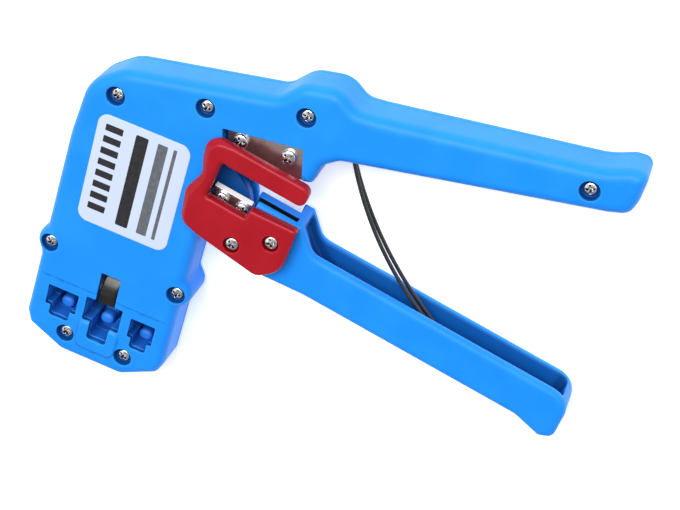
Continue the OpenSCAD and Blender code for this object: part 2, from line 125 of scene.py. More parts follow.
BODY_CORNERS = [
    from_head(HEAD_AXIS - 10.5, HEAD_BOTTOM, 5),
    from_head(HEAD_AXIS + 10.5, HEAD_BOTTOM, 5),
    from_head(HEAD_AXIS + 21.5, HEAD_BOTTOM + 6, 2.5),
    from_head(HEAD_AXIS + HALF_HEAD, HEAD_BOTTOM + 10, 3),
    from_head(HEAD_AXIS + HALF_HEAD, 2),
    (9, UNDERSIDE_Y, 0),
    (34.4, UNDERSIDE_Y, 1.5),
    (37.2, 19.4, 4),
    (42, 21.8, 6),
    (GRIP_REACH - 9.5, 21.8, 2),
    (GRIP_REACH - 3.5, 22.4, 4),
    (GRIP_REACH - 1.5, 27, 3),
    (GRIP_REACH + 0.3, 35.2, 2.6),
    (GRIP_REACH - 5, 35.9, 3),
    (GRIP_REACH - 12, 34.3, 20),
    (52, 37.4, 12),
    (46.2, 38, 5),
    (40.8, 43.4, 8),
    (30, 43.4, 8),
    (22.8, 37.9, 7),
    (-24, 38, 12),
    from_head(HEAD_AXIS - 21.2, 23.9, 12),
    from_head(HEAD_AXIS - HALF_HEAD, 6, 20),
    from_head(HEAD_AXIS - HALF_HEAD - 1.3, HEAD_BOTTOM + 9.5, 2.5),
    from_head(HEAD_AXIS - 22.6, HEAD_BOTTOM + 5.4, 2.5),
]
SHELL_SCREWS = [
    from_head(-31.6, 23.5),
    from_head(-4.9, 30.9),
    (31.9, 34, 0),
    (GRIP_REACH - 15, 28, 0),
    from_head(HEAD_AXIS - 21.4, -33),
    from_head(HEAD_AXIS + 21.2, -33),
    from_head(HEAD_AXIS - 10, -62.8),
    from_head(HEAD_AXIS + 10, -62.8),
]
UPPER_BLADE_SCREWS = [(12.1, 21.9), (26.8, 19.7)]
LOWER_BLADE_SCREWS = [(5.9, 5.5), (12.5, 5.6)]
GUARD_SCREWS = [(14.9, -3.9), (25.1, 3.1)]
GRIP_TOP = 3.3
GRIP_BOTTOM = GRIP_TOP - GRIP_DEPTH
BLOCK = (15.0, 30.8, 10.4)
GRIP_CORNERS = [
    (11.9, -9.8, 0),
    (25, -12, 8),
    (40, GRIP_BOTTOM, 30),
    (LEVER_REACH - 13, GRIP_BOTTOM, 8),
    (LEVER_REACH - 3.8, GRIP_BOTTOM - 2.6, 2.4),
    (LEVER_REACH + 0.2, GRIP_BOTTOM - 0.6, 2.6),
    (LEVER_REACH - 0.8, GRIP_TOP, 7),
    (37, GRIP_TOP, 5),
    (BLOCK[1], BLOCK[2], 0.8),
    (BLOCK[0], BLOCK[2], 0.3),
    (BLOCK[0], -2, 0),
]
CHANNEL_CORNERS = [
    (46, GRIP_BOTTOM + GRIP_WALL, 10),
    (LEVER_REACH - 12, GRIP_BOTTOM + GRIP_WALL, 8),
    (LEVER_REACH - 3.6, GRIP_BOTTOM + GRIP_WALL - 1.6, 2.5),
    (LEVER_REACH - 4.2, GRIP_TOP + 6, 1),
    (30.8, GRIP_TOP + 9, 0.5),
    (31.4, GRIP_TOP + 2.2, 3),
    (35, GRIP_TOP - 2.3, 6),
]
GUARD_CORNERS = [
    (-2.2, -5.8, 4),
    (25.4, -9.4, 4),
    (31.4, -4.2, 8),
    (30.4, 11, 0.8),
    (15.5, 9.9, 0.6),
    (14.9, 6.5, 0.5),
    (2.2, 6.7, 0.7),
    (2.2, 18.9, 1.2),
    (28.9, 18.8, 2.2),
    (28.9, 25.2, 2.6),
    (-1.4, 25.2, 4),
    (-4.6, 22, 4),
    (-3.6, 16.6, 8),
    (-1.8, 12, 5),
    (-4.6, 4.6, 6),
]


def grid_step(full):
    return full


# ------------------------------------------------------------------ outlines
def rounded(corners, step=5.0):
    """Corner points with radii, as a polygon with its corners rounded by arcs."""
    pts = []
    n = len(corners)
    for i in range(n):
        a, b, c = (np.array(corners[(i + k) % n][:2], float) for k in (-1, 0, 1))
        r = corners[i][2] if len(corners[i]) > 2 else 0
        u = (b - a) / np.linalg.norm(b - a)
        v = (c - b) / np.linalg.norm(c - b)
        cross = u[0] * v[1] - u[1] * v[0]
        way = 1 if cross > 0 else -1
        bend = math.degrees(math.acos(max(-1, min(1, float(u @ v)))))
        if r == 0 or bend < 0.1:
            pts.append(b)
            continue
        left = np.array([-u[1], u[0]])
        mid = b - u * r * math.tan(math.radians(bend / 2)) + left * r * way
        steps = max(1, math.ceil(bend / step))
        for k in range(steps + 1):
            t = math.radians(way * bend * k / steps)
            pts.append(mid - way * r * (left * math.cos(t) - u * math.sin(t)))
    return np.array(pts)


def polygon(points):
    """The signed distance to a polygon, as a function of x and y arrays."""
    p = np.asarray(points, np.float32)
    q = np.roll(p, -1, 0)

    def distance(x, y):
        x, y = np.float32(x), np.float32(y)
        best = np.full(np.broadcast(x, y).shape, 1e9, np.float32)
        inside = np.zeros(best.shape, bool)
        for (ax, ay), (bx, by) in zip(p, q):
            ex, ey = bx - ax, by - ay
            wx, wy = x - ax, y - ay
            t = np.clip((wx * ex + wy * ey) / (ex * ex + ey * ey + 1e-12), 0, 1)
            best = np.minimum(best, (wx - ex * t) ** 2 + (wy - ey * t) ** 2)
            if abs(ey) > 1e-9:
                inside ^= ((ay > y) != (by > y)) & (x < ax + (y - ay) * (ex / ey))
        return np.where(inside, -1, 1).astype(np.float32) * np.sqrt(best)

    return distance


def rect(x0, y0, x1, y1, r=0.0):
    """The signed distance to a rectangle with rounded corners."""
    cx, cy, hx, hy = (x0 + x1) / 2, (y0 + y1) / 2, (x1 - x0) / 2, (y1 - y0) / 2

    def distance(x, y):
        dx, dy = np.abs(x - cx) - hx + r, np.abs(y - cy) - hy + r
        return (
            np.hypot(np.maximum(dx, 0), np.maximum(dy, 0))
            + np.minimum(np.maximum(dx, dy), 0)
            - r
        )

    return distance


def disc(cx, cy, r):
    """The signed distance to a circle."""
    return lambda x, y: np.hypot(x - cx, y - cy) - r


def smin(a, b, k):
    """The smaller of two distances, blended over k to leave a fillet."""
    if k <= 0:
        return np.minimum(a, b)
    h = np.maximum(k - np.abs(a - b), 0) / k
    return np.minimum(a, b) - h * h * (k / 4)


def smax(a, b, k):
    """The larger of two distances, blended over k."""
    return -smin(-a, -b, k)


def edge(a, b, r):
    """Where two solids meet, with their shared outer edge rounded to radius r."""
    if r <= 0:
        return np.maximum(a, b)
    p, q = a + r, b + r
    return (
        np.minimum(np.maximum(p, q), 0)
        + np.hypot(np.maximum(p, 0), np.maximum(q, 0))
        - r
    )


def slab(shape, z0, z1, top=0.0, bottom=0.0):
    """A flat outline pulled up from z0 to z1, with rounded top and bottom edges."""

    def distance(x, y, z):
        flat = shape(x, y)
        return np.maximum(edge(flat, z - z1, top), edge(flat, z0 - z, bottom))

    return distance


def box(low, high, r=0.0):
    """The signed distance to a box with rounded edges."""
    low, high = np.array(low, float), np.array(high, float)
    mid, half = (low + high) / 2, (high - low) / 2 - r

    def distance(x, y, z):
        dx, dy, dz = (np.abs(v - m) - h for v, m, h in zip((x, y, z), mid, half))
        out = np.sqrt(np.maximum(dx, 0) ** 2 + np.maximum(dy, 0) ** 2 + np.maximum(dz, 0) ** 2)
        return out + np.minimum(np.maximum(np.maximum(dx, dy), dz), 0) - r

    return distance


def in_head(shape):
    """A shape given in the head's frame, for use in the pivot's frame."""
    a = math.radians(HEAD_TILT)
    ca, sa = math.cos(a), math.sin(a)

    def distance(x, y, *z):
        return shape(x * ca - y * sa, x * sa + y * ca, *z)

    return distance


# ------------------------------------------------------------------ solids on a grid
class Solid:
    """A signed distance on a grid: negative inside. Shapes are added and cut with fillets."""

    def __init__(self, low, high, step):
        self.low = np.array(low, float)
        self.step = step
        self.n = [int(math.ceil((high[i] - low[i]) / step)) + 1 for i in range(3)]
        self.axes = [
            np.float32(low[i]) + np.arange(self.n[i], dtype=np.float32) * np.float32(step)
            for i in range(3)
        ]
        self.d = np.full(self.n, 9.0, np.float32)

    def part(self, span, pad):
        """The slices and coordinates of the grid inside a box."""
        cut, axes = [], []
        for i in range(3):
            lo, hi = (-1e9, 1e9) if span is None else (span[0][i], span[1][i])
            a = self.axes[i]
            i0 = int(np.searchsorted(a, lo - pad))
            i1 = int(np.searchsorted(a, hi + pad))
            cut.append(slice(i0, max(i1, i0)))
            shape = [1, 1, 1]
            shape[i] = -1
            axes.append(a[cut[-1]].reshape(shape))
        return tuple(cut), axes

    def add(self, shape, span=None, k=0.0):
        """Joins a shape on inside the box span, with a fillet about k wide."""
        cut, (x, y, z) = self.part(span, k + 4 * self.step)
        self.d[cut] = smin(self.d[cut], shape(x, y, z), k)

    def cut(self, shape, span=None, k=0.0):
        """Takes a shape away inside the box span, with edges rounded over about k."""
        cut, (x, y, z) = self.part(span, k + 4 * self.step)
        self.d[cut] = smax(self.d[cut], -shape(x, y, z), k)

    def sample(self, p):
        """The distance at any points, between the grid's own."""
        f = np.clip((p - self.low) / self.step, 0, np.array(self.n) - 1.001)
        i = f.astype(int)
        t = (f - i).astype(np.float32)
        total = 0
        for a in (0, 1):
            for b in (0, 1):
                for c in (0, 1):
                    w = (
                        (t[:, 0] if a else 1 - t[:, 0])
                        * (t[:, 1] if b else 1 - t[:, 1])
                        * (t[:, 2] if c else 1 - t[:, 2])
                    )
                    total = total + w * self.d[i[:, 0] + a, i[:, 1] + b, i[:, 2] + c]
        return total

    def gradient(self, p, h):
        """The unit direction in which the distance grows, at any points."""
        g = np.zeros_like(p)
        for i in range(3):
            e = np.zeros(3)
            e[i] = h
            g[:, i] = self.sample(p + e) - self.sample(p - e)
        return g / np.maximum(np.linalg.norm(g, axis=1, keepdims=True), 1e-9)

    def shade(self, p, n):
        """How enclosed each point is: 0 in the open, 1 deep in a recess."""
        total = 0
        top = self.low + (np.array(self.n) - 1) * self.step
        for h in (1.0, 2.5, 5.0, 8.0):
            q = p + n * h
            inside = np.clip(q, self.low, top)
            clear = self.sample(inside) + np.linalg.norm(q - inside, axis=1)
            total = total + np.clip(1 - clear / h, 0, 1) / 4
        return total

    def skin(self, detail=0.0):
        """Points, triangles, quads, normals, edge sharpness and shade of the surface."""
        band = 3 * self.step
        grid = openvdb.FloatGrid(band)
        grid.copyFromArray(np.clip(self.d, -band, band), tolerance=0)
        grid.transform = openvdb.createLinearTransform(voxelSize=self.step)
        p, tris, quads = grid.convertToPolygons(isovalue=0.0, adaptivity=detail)
        p = p.astype(float) + self.low
        for _ in range(2):
            n = self.gradient(p, self.step * 0.5)
            move = np.clip(self.sample(p), -0.5 * self.step, 0.5 * self.step)
            p = p - n * move[:, None]
        n = self.gradient(p, self.step * 0.7)
        h = max(0.45, self.step)
        bend = -6 * self.sample(p)
        for i in range(3):
            e = np.zeros(3)
            e[i] = h
            bend = bend + self.sample(p + e) + self.sample(p - e)
        return p, tris.astype(np.int32), quads.astype(np.int32), n, bend / (h * h), self.shade(p, n)


def placed(angle, shift=(0, 0, 0)):
    """The matrix, in metres, that puts a shape made in a turned frame at the pivot."""
    at = Vector((PIVOT[0], PIVOT[1], 0)) + Vector(shift)
    return Matrix.Scale(0.001, 4) @ Matrix.Translation(at) @ Matrix.Rotation(math.radians(angle), 4, "Z")


AT_PIVOT = placed(0)
AT_HEAD = placed(-HEAD_TILT)
AT_GRIP = placed(-OPEN_ANGLE)


def mesh_from(name, points, faces, normals=None, edge_sheen_and_crease_shade=None, shade=None, matrix=None):
    """An object from arrays of points and of triangle and quad faces."""
    m = np.array(matrix if matrix is not None else Matrix.Identity(4), float)
    pts = points @ m[:3, :3].T + m[:3, 3]
    mesh = bpy.data.meshes.new(name)
    loops = np.concatenate([f.reshape(-1) for f in faces if len(f)]).astype(np.int32)
    sizes = np.concatenate([np.full(len(f), f.shape[1]) for f in faces if len(f)])
    starts = np.concatenate([[0], np.cumsum(sizes)[:-1]]).astype(np.int32)
    mesh.vertices.add(len(pts))
    mesh.vertices.foreach_set("co", pts.astype(np.float32).ravel())
    mesh.loops.add(len(loops))
    mesh.loops.foreach_set("vertex_index", loops)
    mesh.polygons.add(len(sizes))
    mesh.polygons.foreach_set("loop_start", starts)
    mesh.polygons.foreach_set("use_smooth", np.ones(len(sizes), bool))
    # Curvature for painted edge sheen and crease shade, and enclosure for painted shade, kept on the
    # points.
    for key, values in (("edge_sheen_and_crease_shade", edge_sheen_and_crease_shade), ("shade", shade)):
        if values is not None:
            attribute = mesh.attributes.new(key, "FLOAT", "POINT")
            attribute.data.foreach_set("value", np.clip(values, -3, 3).astype(np.float32))
    mesh.update(calc_edges=True)
    if normals is not None:
        turned = normals @ m[:3, :3].T
        turned /= np.maximum(np.linalg.norm(turned, axis=1, keepdims=True), 1e-12)
        mesh.normals_split_custom_set_from_vertices(turned.tolist())
    obj = bpy.data.objects.new(name, mesh)
    bpy.context.scene.collection.objects.link(obj)
    return obj


def outward(points, tris, quads):
    """The faces turned so that they face out."""
    t = np.concatenate([tris, quads[:, [0, 1, 2]], quads[:, [0, 2, 3]]])
    a, b, c = (points[t[:, i]] for i in range(3))
    if np.einsum("ij,ij->i", a, np.cross(b, c)).sum() < 0:
        return tris[:, ::-1], quads[:, ::-1]
    return tris, quads


def carve(name, solid, matrix, detail=0.0, tint=None):
    """The surface of a solid as an object, with its curvature, for painted edge sheen and crease shade,
    and its enclosure, for painted shade, on the points.
    """
    p, tris, quads, n, bend, shade = solid.skin(detail)
    if tint:
        bend, shade = tint(p, bend, shade)
    tris, quads = outward(p, tris, quads)
    return mesh_from(name, p, (tris, quads), n, bend, shade, matrix)


# ------------------------------------------------------------------ materials
class Nodes:
    """A short way to build one material's node tree."""

    def __init__(self, name):
        self.mat = bpy.data.materials.new(name)
        self.mat.use_nodes = True
        self.tree = self.mat.node_tree
        self.shader = self.tree.nodes["Principled BSDF"]
        self.place = self.add("ShaderNodeTexCoord").outputs["Object"]

    def add(self, kind, **values):
        node = self.tree.nodes.new(kind)
        for key, value in values.items():
            if key in node.inputs:
                node.inputs[key].default_value = value
            else:
                setattr(node, key, value)
        return node

    def link(self, a, b):
        self.tree.links.new(a, b)

    def noise(self, scale, detail=3.0, rough=0.55, stretch=None):
        """A noise of about scale features per metre."""
        node = self.add("ShaderNodeTexNoise", Scale=scale, Detail=detail, Roughness=rough)
        if stretch is None:
            self.link(self.place, node.inputs["Vector"])
        else:
            turn = self.add("ShaderNodeMapping")
            turn.inputs["Scale"].default_value = stretch[0]
            turn.inputs["Rotation"].default_value = stretch[1]
            self.link(self.place, turn.inputs["Vector"])
            self.link(turn.outputs[0], node.inputs["Vector"])
        return node.outputs["Fac"]

    def spread(self, value, low, high, out_low=0.0, out_high=1.0):
        """A value eased from one range to another, and held at its ends."""
        node = self.add("ShaderNodeMapRange", interpolation_type="SMOOTHSTEP")
        for key, v in (("From Min", low), ("From Max", high), ("To Min", out_low), ("To Max", out_high)):
            node.inputs[key].default_value = v
        self.link(value, node.inputs["Value"])
        return node.outputs["Result"]

    def mix(self, factor, a, b):
        """Colour a where factor is 0 and colour b where it is 1."""
        node = self.add("ShaderNodeMix", data_type="RGBA")
        self.link(factor, node.inputs[0])
        for socket, v in ((node.inputs[6], a), (node.inputs[7], b)):
            if isinstance(v, tuple):
                socket.default_value = (*v, 1)
            else:
                self.link(v, socket)
        return node.outputs[2]

    def math(self, kind, a, b):
        node = self.add("ShaderNodeMath", operation=kind)
        for socket, v in zip(node.inputs, (a, b)):
            if isinstance(v, (int, float)):
                socket.default_value = v
            else:
                self.link(v, socket)
        return node.outputs[0]

    def edge_sheen_and_crease_shade(self):
        """How convex (above 0) or hollow (below 0) the surface is, from the mesh, which drives painted
        edge sheen and crease shade.
        """
        return self.add("ShaderNodeAttribute", attribute_name="edge_sheen_and_crease_shade").outputs["Fac"]

    def shade(self):
        """How enclosed the surface is, from 0 to 1, from the mesh."""
        return self.add("ShaderNodeAttribute", attribute_name="shade").outputs["Fac"]

    def bump(self, height, distance, strength=1.0):
        node = self.add("ShaderNodeBump", Strength=strength, Distance=distance)
        self.link(height, node.inputs["Height"])
        return node.outputs["Normal"]


def plastic(name, colour, light, deep, rough=0.4, grain=0.00001, specular=0.35, gloom=0.92):
    """Moulded plastic: faint mottling, painted edge sheen that pales convex edges, painted shade that
    deepens hollow places and recesses, near black where shade passes 1, and a fine grain.
    """
    t = Nodes(name)
    patches = t.spread(t.noise(70, 4), 0.35, 0.7)
    base = t.mix(t.math("MULTIPLY", patches, 0.35), colour, light)
    # Painted edge sheen: convex edges are mixed toward the paler colour.
    edges = t.spread(t.edge_sheen_and_crease_shade(), 0.25, 1.4, 0.0, 0.4)
    base = t.mix(edges, base, light)
    # Painted crease shade: hollow places are mixed toward the deep colour.
    painted_hollow_shade = t.spread(t.edge_sheen_and_crease_shade(), -0.15, -1.6, 0.0, 0.55)
    base = t.mix(painted_hollow_shade, base, deep)
    # Painted shade: enclosed places are mixed toward the deep colour, by up to gloom.
    base = t.mix(t.spread(t.shade(), 0.1, 0.62, 0.0, gloom), base, deep)
    # Painted shade: where shade passes 1, the colour goes near black.
    base = t.mix(t.spread(t.shade(), 1.05, 1.35), base, (0.004, 0.004, 0.006))
    t.link(base, t.shader.inputs["Base Color"])
    scuffs = t.spread(t.noise(900, 5, 0.7), 0.45, 0.75)
    r = t.math("MULTIPLY_ADD", scuffs, 0.12)
    r.node.inputs[2].default_value = rough
    t.link(r, t.shader.inputs["Roughness"])
    fine = t.noise(5200, 2, 0.6)
    t.link(t.bump(fine, grain, 0.5), t.shader.inputs["Normal"])
    t.shader.inputs["Specular IOR Level"].default_value = specular
    return t.mat


def metal(name, colour, dark, rough=0.25, streaks=None, grain=0.000004, metallic=1.0):
    """Bare or plated metal, with grinding streaks where streaks gives their direction."""
    t = Nodes(name)
    cloud = t.spread(t.noise(260, 4, 0.6), 0.3, 0.75)
    base = t.mix(cloud, colour, dark)
    # Painted shade: hollow places, such as screw recesses, are mixed toward near black.
    base = t.mix(t.spread(t.edge_sheen_and_crease_shade(), -0.08, -0.7, 0.0, 0.93), base, (0.02, 0.02, 0.022))
    t.link(base, t.shader.inputs["Base Color"])
    if streaks is None:
        lines = t.noise(2600, 3, 0.6)
    else:
        lines = t.noise(1.0, 3, 0.6, stretch=((9000, 260, 9000), (0, 0, math.radians(streaks))))
    r = t.math("MULTIPLY_ADD", lines, 0.22)
    r.node.inputs[2].default_value = rough
    t.link(r, t.shader.inputs["Roughness"])
    t.link(t.bump(lines, grain, 0.6), t.shader.inputs["Normal"])
    t.shader.inputs["Metallic"].default_value = metallic
    return t.mat


# The third colour of each plastic is its painted shade colour, for hollow places and recesses.
BLUE = plastic(
    "blue_plastic", (0.008, 0.262, 0.95), (0.020, 0.330, 1.0), (0.002, 0.050, 0.22),
    rough=0.42, specular=0.22,
)
INNER_BLUE = plastic(
    "inner_blue_plastic", (0.02, 0.22, 0.82), (0.045, 0.27, 0.9), (0.004, 0.08, 0.4),
    rough=0.45, gloom=0.7,
)
RED = plastic(
    "red_plastic", (0.37, 0.004, 0.012), (0.48, 0.010, 0.025), (0.24, 0.003, 0.005),
    rough=0.34, specular=0.28,
)
PLATE = plastic("plate_blank", (0.56, 0.655, 0.86), (0.62, 0.70, 0.92), (0.42, 0.5, 0.7), 0.35)
FRAME_STEEL = metal("frame_steel", (0.55, 0.56, 0.58), (0.40, 0.41, 0.43), 0.28, streaks=0)
BRIGHT = metal("bright_screws", (0.86, 0.86, 0.87), (0.62, 0.62, 0.64), 0.12)
BLADE = metal("blade_steel", (0.66, 0.65, 0.65), (0.50, 0.49, 0.49), 0.2, streaks=3)
# Near-white, half-metal finish for the moving blade's ground bevel: real ground steel with a painted
# reflection of the bright surroundings.
BEVEL_SHEEN_STEEL = metal("ground_edge_painted_sheen", (0.95, 0.95, 0.96), (0.88, 0.88, 0.9), 0.3, streaks=-20, metallic=0.3)


def blackened(name, colour, dark, rough, metallic=0.0, scale=900):
    """A dark coating or ink in two close tones, with a fine grain."""
    t = Nodes(name)
    patches = t.spread(t.noise(scale, 4, 0.6), 0.35, 0.7)
    t.link(t.mix(patches, colour, dark), t.shader.inputs["Base Color"])
    r = t.math("MULTIPLY_ADD", patches, 0.15)
    r.node.inputs[2].default_value = rough
    t.link(r, t.shader.inputs["Roughness"])
    t.link(t.bump(t.noise(3500, 3), 0.000006, 0.6), t.shader.inputs["Normal"])
    t.shader.inputs["Metallic"].default_value = metallic
    return t.mat


BLACK = blackened("black_steel", (0.007, 0.007, 0.007), (0.011, 0.010, 0.010), 0.16, scale=180)
WIRE = blackened("spring_wire", (0.012, 0.012, 0.012), (0.03, 0.028, 0.026), 0.3)
INK = blackened("printed_ink", (0.012, 0.012, 0.014), (0.02, 0.02, 0.022), 0.4)
GREY_INK = blackened("grey_ink", (0.10, 0.11, 0.13), (0.14, 0.15, 0.17), 0.4)


def finish(obj, body, material, slot, *nodes):
    """Gives a piece its material and its body, and hides the CAD nodes that it stands for."""
    obj.data.materials.append(material)
    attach(obj, body)
    if nodes:
        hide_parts(*nodes)
    return obj


# ------------------------------------------------------------------ casing
STEP = grid_step(0.25)
body_points = rounded(BODY_CORNERS)
body_poly = polygon(body_points)
BODY_LOW, BODY_HIGH = body_points.min(0), body_points.max(0)


def casing_outline(x, y):
    """Outline of both shells, with the screw lobes and the pivot boss filleted in."""
    d = body_poly(x, y)
    cover = rect(-2, BOSS_FLOOR_Y, 60, UNDERSIDE_Y + 2)(x, y)
    d = smin(d, smax(disc(0, 0, BOSS_SWEEP_R)(x, y), cover, 0.8), 1.5)
    for i in (4, 5):
        d = smin(d, disc(SHELL_SCREWS[i][0], SHELL_SCREWS[i][1], BOSS_R)(x, y), 2.4)
    return d


GRID_LOW = (BODY_LOW[0] - 2.5, BODY_LOW[1] - 1.5)
GRID_HIGH = (BODY_HIGH[0] + 1.5, BODY_HIGH[1] + 1.5)
shell = Solid((*GRID_LOW, SPLIT_Z - 1), (*GRID_HIGH, CASING_T + 1), STEP)
_, (gx, gy, _) = shell.part(None, 0)
flat = casing_outline(gx, gy)


def on_grid(array, solid):
    """A flat distance that was worked out once, looked up again for part of its grid."""

    def distance(x, y):
        i = int(round((float(x.ravel()[0]) - solid.low[0]) / solid.step))
        j = int(round((float(y.ravel()[0]) - solid.low[1]) / solid.step))
        return array[i : i + x.size, j : j + y.size]

    return distance


outline = on_grid(flat, shell)
shell.add(slab(outline, SPLIT_Z, CASING_T, top=3.4, bottom=0.25))
solid_body = shell.d.copy()
inner = lambda x, y, z: np.maximum(outline(x, y) + WALL, z - (CASING_T - WALL))
shell.cut(inner)

BAY = polygon(
    [(8, BOSS_FLOOR_Y - 1), (33, BOSS_FLOOR_Y - 1), (33, UNDERSIDE_Y - 2), (31.6, UNDERSIDE_Y),
     (31.6, 24.1), (7.4, 26), (7.4, 15), (2, 14), (2, 8.4), (-0.6, 7.6), (-0.6, -6.2)]
)


def bay_wall(x, y):
    """The solid stretch of the casing that the sunk bay is cut into."""
    d = rect(-3, BOSS_FLOOR_Y - 1, 33.6, UNDERSIDE_Y)(x, y)
    d = np.minimum(d, polygon([(6, 12), (33, 12), (33, 25.4), (6, 27.4)])(x, y))
    return np.minimum(d, disc(0, 0, LOBE_R + 1.4)(x, y))


bay_span = ((-7, -13, 0), (36, 30, 30))
part, (px, py, pz) = shell.part(bay_span, 0)
block = np.maximum(np.maximum(solid_body[part], bay_wall(px, py)), BAY_Z - 1.4 - pz)
shell.d[part] = np.minimum(shell.d[part], block)
web = rect(8, LEVER_CLEAR_Y, 19.5, UNDERSIDE_Y + 1, 0.5)
shell.add(slab(web, SPLIT_Z, WEB_Z, top=0.4), ((8, 5, 0), (19.5, 15, 10)))
for sx, sy, _ in SHELL_SCREWS:
    near = ((sx - 5, sy - 5, 0), (sx + 5, sy + 5, 20))
    part, (px, py, pz) = shell.part(near, 0)
    collar = slab(disc(sx, sy, SEAT_R + 0.6), CASING_T - SEAT_DEPTH - 1.5, CASING_T - 1)(px, py, pz)
    post = slab(disc(sx, sy, SCREW_POST_R), SPLIT_Z, CASING_T - SEAT_DEPTH)(px, py, pz)
    ring = np.maximum(np.minimum(collar, post), solid_body[part])
    shell.d[part] = np.minimum(shell.d[part], ring)
# The head's end stands a hair lower than the rest of the face, along a faint step
low_face = in_head(
    lambda x, y, z: np.maximum(y - LOW_FACE_TOP + 0 * x, CASING_T - LOW_FACE_DEPTH - z)
)
shell.cut(low_face, k=0.4)
# Raised rim round the lower end of the widest pocket's latch channel
rim_2d = rect(-26.2, -65.0, -13.0, -40, 2.6)


def rim(x, y, z):
    """The raised rim, a hair above the face."""
    flat_rim = smax(rim_2d(x, y), y - RIM_TOP, 1.5)
    return edge(flat_rim, z - (CASING_T + RIM_RISE), 0.7)


part, (px, py, pz) = shell.part(((-45, -72, 15), (-20, -50, 20)), 2)
ridge = np.maximum(in_head(rim)(px, py, pz), CASING_T - 1.5 - pz)
ridge = smax(ridge, outline(px, py) + 1.2, 0.6)
shell.d[part] = smin(shell.d[part], ridge, 0.5)

shell.cut(lambda x, y, z: np.maximum(BAY(x, y), BAY_Z - z), bay_span, 0.3)
shell.cut(slab(disc(0, 0, LOBE_R + 0.4), BAY_Z, LOBE_TOP_Z), ((-5, -5, 12), (5, 5, 15)))
for sx, sy, _ in SHELL_SCREWS:
    near = ((sx - SEAT_R, sy - SEAT_R, 0), (sx + SEAT_R, sy + SEAT_R, 20))
    seat = disc(sx, sy, SEAT_R)
    shell.cut(lambda x, y, z: edge(seat(x, y), CASING_T - SEAT_DEPTH - z, 0.3), near, 0.35)
    shell.cut(lambda x, y, z: disc(sx, sy, THREAD_R)(x, y) + 0 * z, near)


def pocket(key, grow=0.0):
    """Outline of one plug pocket with its latch channel, in the head's frame."""
    u, top, h, w, cw, ch = POCKETS[key]
    u += HEAD_AXIS
    body = rect(u - w / 2 - grow, top - h - grow, u + w / 2 + grow, top + grow, 0.25)
    channel = rect(u - cw / 2 - grow, top - h - ch - grow, u + cw / 2 + grow, top - h + 1, 0.9)
    return lambda x, y: smin(body(x, y), channel(x, y), 0.5)


nose = ((-50, -72, 0), (10, -20, 30))
for key in POCKETS:
    flat_pocket = pocket(key)
    shell.cut(
        in_head(lambda x, y, z: np.maximum(flat_pocket(x, y), CASING_WALL_Z - z)), nose, 0.45
    )
finger_rect = rect(*FINGER_SLOT, 0.2)
finger_slot = in_head(lambda x, y, z: np.maximum(finger_rect(x, y), CASING_WALL_Z - z))
shell.cut(finger_slot, nose, 0.25)
shell.cut(box((42.6, 16, 7), (49.4, 25, 13), 0.8), ((42, 15, 6), (50, 26, 14)), 0.4)
shell.cut(box((5, BOSS_FLOOR_Y - 3, 4.7), (24, LEVER_CLEAR_Y, 8.3)), ((4, -14, 4), (25, 6, 9)), 0.1)
shell.cut(slab(disc(0, 0, PIN_HOLE_R), 0, PIN_TOP_Z), ((-3, -3, 0), (3, 3, 16)))


def casing_tint(p, bend, shade):
    """Painted shadow on the bay's floor, and no painted edge sheen down inside the pockets."""
    # Painted shadow: the bay's floor gets a high shade, so it takes the deep colour.
    floor = (p[:, 2] < 13.2) & (p[:, 2] > 11.5) & (BAY(p[:, 0], p[:, 1]) < 0.3)
    shade = np.where(floor, np.maximum(shade, 0.85), shade)
    # No painted edge sheen down inside the pockets.
    bend = np.where((p[:, 2] < 16.0) & (p[:, 1] < -30), np.minimum(bend, 0), bend)
    return bend, shade


casing_front = carve("casing_front", shell, AT_PIVOT, 0.02, casing_tint)
finish(casing_front, "casing", BLUE, "blue_plastic", "front_shell")
del shell, solid_body

back = Solid((*GRID_LOW, -1), (*GRID_HIGH, SPLIT_Z + 1), STEP)
outline = on_grid(flat, back)
back.add(slab(outline, 0, SPLIT_Z, top=0.25, bottom=3.6))
back.cut(lambda x, y, z: np.maximum(outline(x, y) + WALL, WALL - z))
back.add(slab(web, 0, SPLIT_Z, bottom=0.6), ((8, 5, 0), (19.5, 15, 5)))
for sx, sy, _ in SHELL_SCREWS:
    near = ((sx - SCREW_POST_R, sy - SCREW_POST_R, 0), (sx + SCREW_POST_R, sy + SCREW_POST_R, 20))
    back.add(slab(disc(sx, sy, SCREW_POST_R), 1, SPLIT_Z), near)
    back.cut(lambda x, y, z: np.maximum(disc(sx, sy, THREAD_R)(x, y), SHELL_TIP_Z - z), near)
casing_rear = carve("casing_rear", back, AT_PIVOT, 0.02)
finish(casing_rear, "casing", BLUE, "blue_plastic", "rear_shell")
del back


# ------------------------------------------------------------------ plug nests
NEST_Z = (3.7, 9.4, 15.0)


def nest_outline(x, y):
    """A wide bar with a tab below it, less the pockets and the finger's slot."""
    d = rect(-38.8, -59.2, -1.2, -47.6, 0.6)(x, y)
    d = np.minimum(d, rect(-24.6, -63.4, -15.0, -58, 0.4)(x, y))
    for key in POCKETS:
        d = np.maximum(d, -pocket(key)(x, y))
    return np.maximum(d, -finger_rect(x, y))


def nest_tint(p, bend, shade):
    """No painted edge sheen on the guides."""
    return np.minimum(bend, 0), shade


